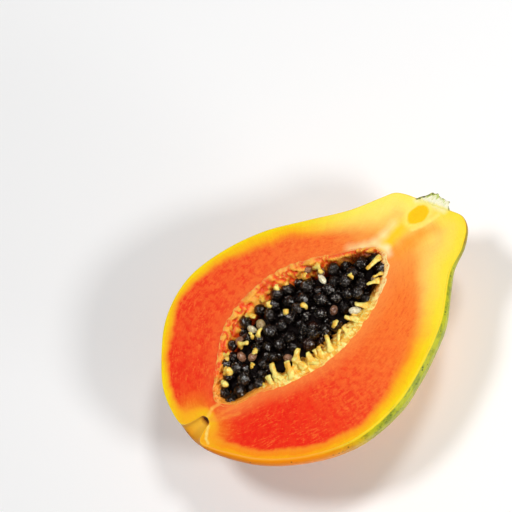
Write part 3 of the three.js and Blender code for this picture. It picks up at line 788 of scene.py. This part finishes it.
p = Paint("strand_flesh")
place = p.place()
fine = p.grain(place, 0.9, 3.0, 0.6)
coarse = p.grain(place, 0.16, 2.0)
pulp = p.blend(p.fade(fine + (coarse - 0.5) * 0.8, 0.35, 0.65), "FFEA80", "FDBC3A")
# Deeper orange towards the feet, lower down among the seeds: partly the tissue's own deeper tone, partly painted
# shade.
pulp = p.blend(p.fade(p.part(place, "Z") + (coarse - 0.5) * 2.0, -0.3, -3.4) * 0.65, pulp, "F08A18")
p.set(Base_Color=pulp, Roughness=0.16 + fine * 0.2, Specular_IOR_Level=0.5)
p.soak(0.3, (0.004, 0.0022, 0.0008))
p.relief(fine, 0.0006)
strand_tuft.data.materials.append(p.material)
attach(strand_tuft, "root")

# Seeds: a heap of dark seeds, each in its own thin wet sac.
# Six or seven millimetres long, wrinkled under the sac, loose and piled in the cavity. Each is a copy of one of a
# few wrinkled balls, and its place is found by letting it fall on those before. The deep ones are plainer balls.
HEAP_CREST, HEAP_FALL, HEAP_LAYER = -0.6, 0.9, 7.6  # height in the middle, fall to the edge, depth of loose seeds
HEAP_ENDS = (24.0, 122.0)  # places along the fruit between which seeds lie
SMALL_SHARE, SMALL_RADII, RADII = 0.2, (2.4, 2.7), (2.8, 3.3)
SEED_SPACING = 0.96  # distance between neighbours, which press together a little, over two radii
TRIES, MISSES = 90, 25  # places tried for each seed, and seeds without room before the heap is full
NO_ROOM = -0.9  # a seed that rests higher than this over the top of the heap has no room
BURIED = 6.0  # depth from which a plainer ball will do
SAC_LENGTH, SAC_SPREAD = 1.02, 0.16  # least length over breadth, and its spread
FINE_SACS, PLAIN_SACS = 6, 3
PALE_SEEDS = (  # along, across, radius, tone, direction of its length, length over breadth
    (55.6, 17.6, 1.6, 0.85, 287, 1.6),
    (47.4, 18.0, 1.9, 0.20, 20, 1.3),
    (43.0, 11.4, 2.0, 0.22, 80, 1.3),
    (46.8, 7.6, 2.0, 0.30, 10, 1.2),
    (60.2, 16.4, 2.3, 0.62, 60, 1.15),
    (58.9, -4.8, 1.9, 0.30, 130, 1.2),
    (96.4, 11.8, 1.6, 1.00, 84, 1.9),
    (98.2, 15.0, 1.9, 0.20, 30, 1.2),
    (94.3, 20.8, 1.7, 0.30, 320, 1.3),
    (97.4, -10.8, 1.9, 1.00, 323, 1.6),
    (90.2, -3.4, 1.9, 0.10, 30, 1.3),
    (114.6, -6.0, 1.7, 0.60, 0, 1.2),
)


def cavity_end(x):
    return RIM[0][1] if x > CAVITY_MIDDLE else RIM[-1][1]


def bed_share(x, y):
    """How far a place is from the middle of the bed (0) towards its edge (1)."""
    middle, half = cavity_at(x)
    return min(1, max(abs(y - middle) / max(half * BED_WIDTH, 0.5),
                      abs((x - CAVITY_MIDDLE) / ((cavity_end(x) - CAVITY_MIDDLE) * BED_LENGTH))))


def heap_top(x, y):
    return HEAP_CREST - HEAP_FALL * bed_share(x, y) ** 2 - 1.2 * abs(noise.noise(Vector((x * 0.09, y * 0.09, 2.5))))


def side_limits(x):
    """How far across the seeds reach on the left and the right, as shares of the cavity's half width."""
    left = 0.97 - 0.14 * ease(x, 36, 50) * (1 - ease(x, 100, 114))
    right = 0.98 - 0.27 * ease(x, 40, 54) * (1 - ease(x, 90, 110))
    return left, right


def lining_height(x, y):
    """Height of the lining at a place: its floor, or the slope beside that."""
    middle, half = cavity_at(x)
    side = (abs(y - middle) / max(half, 0.5) - BED_WIDTH) / (1 - BED_WIDTH)
    end = (abs((x - CAVITY_MIDDLE) / (cavity_end(x) - CAVITY_MIDDLE)) - BED_LENGTH) / (1 - BED_LENGTH)
    up = min(max(side, end, 0), 1)
    return floor_height(bed_share(x, y)) if up == 0 else -BED_DEPTH * (1 - up) ** SLOPE_CURVE


def rest_height(x, y, radius, taken):
    """Height at which a seed dropped at a place comes to rest on what is there."""
    height = max(heap_top(x, y) - HEAP_LAYER, min(lining_height(x, y) + 0.8 * radius, -2.6))
    for sx, sy, sz, other in taken:
        reach = (radius + other) * SEED_SPACING
        apart = (x - sx) ** 2 + (y - sy) ** 2
        if apart < reach * reach:
            height = max(height, sz + math.sqrt(reach * reach - apart))
    return height


draw = random.Random(5)
pale_places = [(x, y, heap_top(x, y) - 1.5 + 0.9 * tone, radius, tone, math.radians(way), long)
               for x, y, radius, tone, way, long in PALE_SEEDS]
taken = [place[:4] for place in pale_places]
for foot, tip, thickness in STALKS:
    for t in (0.6, 1.0):
        at = Vector(foot).lerp(Vector(tip), t)
        taken.append((at.x, at.y, at.z - thickness - 1.0, thickness * 0.9))
heap = []
misses = 0
while misses < MISSES:
    radius = lerp(*(SMALL_RADII if draw.random() < SMALL_SHARE else RADII), draw.random())
    best = None
    for _ in range(TRIES):
        x = lerp(*HEAP_ENDS, draw.random())
        (middle, half), (left, right) = cavity_at(x), side_limits(x)
        y = middle + lerp(-half * right + 0.85 * radius, half * left - 0.85 * radius, draw.random())
        z = rest_height(x, y, radius, taken)
        if best is None or z - heap_top(x, y) < best[0]:
            best = (z - heap_top(x, y), x, y, z)
    if best[0] > NO_ROOM:
        misses += 1
        continue
    heap.append((*best[1:], radius))
    taken.append(heap[-1])
heap.sort(key=lambda seed: seed[2] - heap_top(seed[0], seed[1]))
buried = sum(1 for x, y, z, _ in heap if z < heap_top(x, y) - BURIED)

sac_shapes = []
for k in range(FINE_SACS + PLAIN_SACS):
    bpy.ops.mesh.primitive_ico_sphere_add(subdivisions=4 if k < FINE_SACS else 3, radius=1, location=(0, 0, 0))
    sac = bpy.context.object
    for vertex in sac.data.vertices:
        way = vertex.co.normalized()
        turned = Vector((way.x * 1.4, way.y * 2.7, way.z * 2.7)) + Vector((k * 5.3, 2.2, 7.1))
        wrinkle = 0.20 * abs(noise.noise(turned)) + 0.08 * noise.noise(way * 1.4 + Vector((k, 3, 1)))
        vertex.co = way * (1.04 - wrinkle)
    bpy.ops.object.shade_smooth()
    sac_shapes.append(sac)


def make_seeds(places, name, shapes):
    """Copies of the sacs at their places, each turned and stretched its own way, joined in one piece."""
    copies = []
    for k, (x, y, z, radius, tone, way, long) in enumerate(places):
        seed = copied(shapes[k % len(shapes)])
        tilt = (draw.random() - 0.5) * (1.6 if long < 1.15 else 0.5)
        roll = draw.random() * math.tau
        turn = Matrix.Rotation(way, 4, "Z") @ Matrix.Rotation(tilt, 4, "Y") @ Matrix.Rotation(roll, 4, "X")
        grow = Matrix.Diagonal((radius * long, radius, radius * lerp(0.92, 1.02, draw.random()), 1))
        seed.data.transform(Matrix.Translation((x, y, z)) @ turn @ grow)
        seed.data.transform(Matrix.Scale(0.001, 4) @ Matrix.Translation(-FRAME_ORIGIN))
        mark(seed, "tone", [tone] * len(seed.data.vertices))
        copies.append(seed)
    return joined(copies, name)


laid = [(*seed, draw.random(), draw.random() * math.tau, SAC_LENGTH + SAC_SPREAD * draw.random()) for seed in heap]
dark_seeds = make_seeds(laid[buried:], "dark_seeds", sac_shapes[:FINE_SACS])
p = Paint("wet_black")
place = p.place()
tone = p.attribute("tone")
fine = p.grain(place, 1.0, 4.0, 0.6)
folds = p.grain(p.stretch(place, (1.6, 0.9, 1.2)), 0.75, 3.0, 0.55)
net = p.node("ShaderNodeTexVoronoi", {"feature": "DISTANCE_TO_EDGE"},
             {"Vector": place, "Scale": 0.62}, output="Distance")
colour = p.blend(p.fade(fine, 0.35, 0.7), "040100", "100603")
colour = p.blend(p.fade(tone, 0.93, 0.97) * 0.7, colour, "34180C")
ridges = 1 - p.fade(net, 0.0, 0.26)
p.set(Base_Color=colour, Roughness=0.05 + fine * 0.05, Specular_IOR_Level=0.7,
      Specular_Tint=(1.0, 0.88, 0.78, 1.0), Coat_Weight=0.4, Coat_Roughness=0.03, Coat_IOR=1.6)
p.relief(ridges + folds * 0.5, 0.00036)
dark_seeds.data.materials.append(p.material)
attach(dark_seeds, "root")
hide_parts("seeds")

buried_seeds = make_seeds(laid[:buried], "buried_seeds", sac_shapes[FINE_SACS:])
buried_seeds.data.materials.append(p.material)
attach(buried_seeds, "root")

# Seeds that never ripened.
# Small empty sacs, brown to white, among the dark ones and at the edge of the lining. They are copies of the same
# wrinkled balls, most of them longer, and each lies loose where its row in the table says.
pale_seeds = make_seeds(pale_places, "pale_seeds", sac_shapes[:FINE_SACS])
p = Paint("empty_sac")
place = p.place()
fine = p.grain(place, 0.8, 3.0, 0.6)
tone = p.attribute("tone")
SAC_TONES = ((0.0, tint("5A3422")), (0.3, tint("A87656")), (0.7, tint("B09A66")), (1.0, tint("FBF0CC")))
colour = p.node("ShaderNodeValToRGB", {"stops": SAC_TONES}, {"Fac": tone + (fine - 0.5) * 0.7})
p.set(Base_Color=colour, Roughness=0.14 + fine * 0.25, Specular_IOR_Level=0.5, Coat_Weight=0.6, Coat_Roughness=0.06)
p.soak(0.2, (0.003, 0.002, 0.001))
p.relief(p.grain(p.stretch(place, (1.6, 0.9, 1.2)), 0.75, 3.0, 0.55) + fine * 0.4, 0.0011)
pale_seeds.data.materials.append(p.material)
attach(pale_seeds, "root")
for sac in sac_shapes:
    bpy.data.objects.remove(sac)

# Packed rest of the heap.
# The seeds below the loose ones, which show only as dark lumpy ground in the gaps. It is one closed form, a ball
# shaped to the bowl of the lining with its top under that of the heap.
PACKED_COLUMNS, PACKED_RINGS = 96, 16
PACKED_SHARE, PACKED_FLOOR = 0.9, 0.8  # its size as a share of the bed, and its height above the lining's floor
PACKED_RISE = 1.5  # how far it stands up into the layer of loose seeds


def packed_place(column, ring):
    share = PACKED_SHARE * math.sin(math.pi * ring / PACKED_RINGS)
    point = CAVITY_CENTRE.lerp(slope_point(crowded(column, PACKED_COLUMNS), 1), share)
    lumpy = 0.9 * noise.noise(point * 0.35)
    top = heap_top(point.x, point.y) - HEAP_LAYER + PACKED_RISE + lumpy
    bottom = floor_height(share) + PACKED_FLOOR
    point.z = max(top, bottom) if ring <= PACKED_RINGS // 2 else bottom
    return in_frame(point)


packed = new_ball("packed_seeds", PACKED_COLUMNS, PACKED_RINGS)
shape_ball(packed, ball_spots(packed, PACKED_COLUMNS, PACKED_RINGS), packed_place)
bpy.ops.object.shade_smooth()
p = Paint("shaded_black")
lumps = p.grain(p.place(), 0.4, 4.0, 0.7)
p.set(Base_Color=p.blend(lumps, "050303", "1C1210"), Roughness=0.75, Specular_IOR_Level=0.1)
p.relief(lumps, 0.001)
packed.data.materials.append(p.material)
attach(packed, "root")

# Stump of the stem.
# What is left where the fruit broke from its stalk, cut through with it: a short five-ridged stub, greenish
# white and fibrous inside, with a dry brown skin. It grew from the shoulder.
STUMP_COLUMNS, END_RINGS, SIDE_RINGS, FOOT_RINGS = 120, 16, 20, 12
stump_rings = END_RINGS + SIDE_RINGS + FOOT_RINGS
STEM_FOOT, STEM_END = 8.2, 4.2  # radius at the shoulder and at the broken end
RIDGES, RIDGE_SHARE = 5, 0.07
END_LEFT, END_RIGHT = 163.4, 165.2  # how far along the fruit the broken end lies on each side
SHOULDER, SHOULDER_SLANT = 158.6, (162.9 - 155.7) / 15.7  # where the shoulder lies, and its run along over across


def stump_place(column, ring):
    """The rings go over the broken end, the sides and the foot. The upper half of each lies in the cut."""
    turn = math.tau * column / STUMP_COLUMNS
    ridge = 1 + RIDGE_SHARE * math.cos(RIDGES * turn)
    ridge += 0.12 * noise.noise(Vector((math.cos(turn) * 4, math.sin(turn) * 4, ring * 0.1)))
    if ring <= END_RINGS:
        radius, along = STEM_END * ring / END_RINGS, 1
    elif ring <= END_RINGS + SIDE_RINGS:
        along = 1 - (ring - END_RINGS) / SIDE_RINGS
        radius = lerp(STEM_FOOT, STEM_END, along ** 0.8)
    else:
        radius, along = STEM_FOOT * (stump_rings - ring) / FOOT_RINGS, 0
    side, down = radius * ridge * math.cos(turn), radius * ridge * math.sin(turn)
    foot = SHOULDER - SHOULDER_SLANT * side
    end = lerp(END_RIGHT, END_LEFT, (1 + math.cos(turn) * min(1, radius / STEM_END)) / 2)
    point = Vector((lerp(foot, end, along), side, -abs(down) if down > 0 else 0.0))
    if down <= 0:
        point.z = -0.05 - 0.12 * abs(noise.noise(point * 0.8))
    if ring <= END_RINGS + 2:
        point.x += 1.2 * noise.noise(Vector((point.y * 0.6, point.z * 0.6, 4))) - 0.3
    return in_frame(point)


stump = new_ball("stem_stump_broken", STUMP_COLUMNS, stump_rings)
shape_ball(stump, ball_spots(stump, STUMP_COLUMNS, stump_rings), stump_place)
bpy.ops.object.shade_smooth_by_angle(angle=math.radians(50))
p = Paint("broken_stem")
place = p.place()
x, y, z = (p.part(place, axis) for axis in "XYZ")
fine = p.grain(place, 0.9, 4.0, 0.6)
grainy = p.grain(p.stretch(place, (0.3, 1.6, 1.6)), 1.2, 3.0, 0.6)
out = x + y * SHOULDER_SLANT - SHOULDER
inside = p.blend(p.fade(out + (fine - 0.5) * 1.6, 0.1, 2.2), "FBEC84", "FEF9D8")
inside = p.blend(p.fade(grainy + p.fade(out, 1.0, 6.5) * 0.3, 0.62, 0.8), inside, "C6D464")
bark = p.blend(p.fade(fine, 0.4, 0.62), "A8B43C", "3C2C10")
rind = p.fade(z + (fine - 0.5) * 1.0, -0.2, -0.9)
for sideways in (y * -1.0, y):
    rind = rind.sum("MAXIMUM", rind, p.fade((fine - 0.5) * 3.0 + sideways + out * 0.68, 7.0, 8.0))
p.set(Base_Color=p.blend(rind, inside, bark), Roughness=0.6 + fine * 0.2)
p.soak(0.1, (0.002, 0.0015, 0.0006))
p.relief(fine + grainy, 0.0005, 0.9)
stump.data.materials.append(p.material)
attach(stump, "root")
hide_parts("stem_stump")
bpy.ops.object.select_all(action="DESELECT")
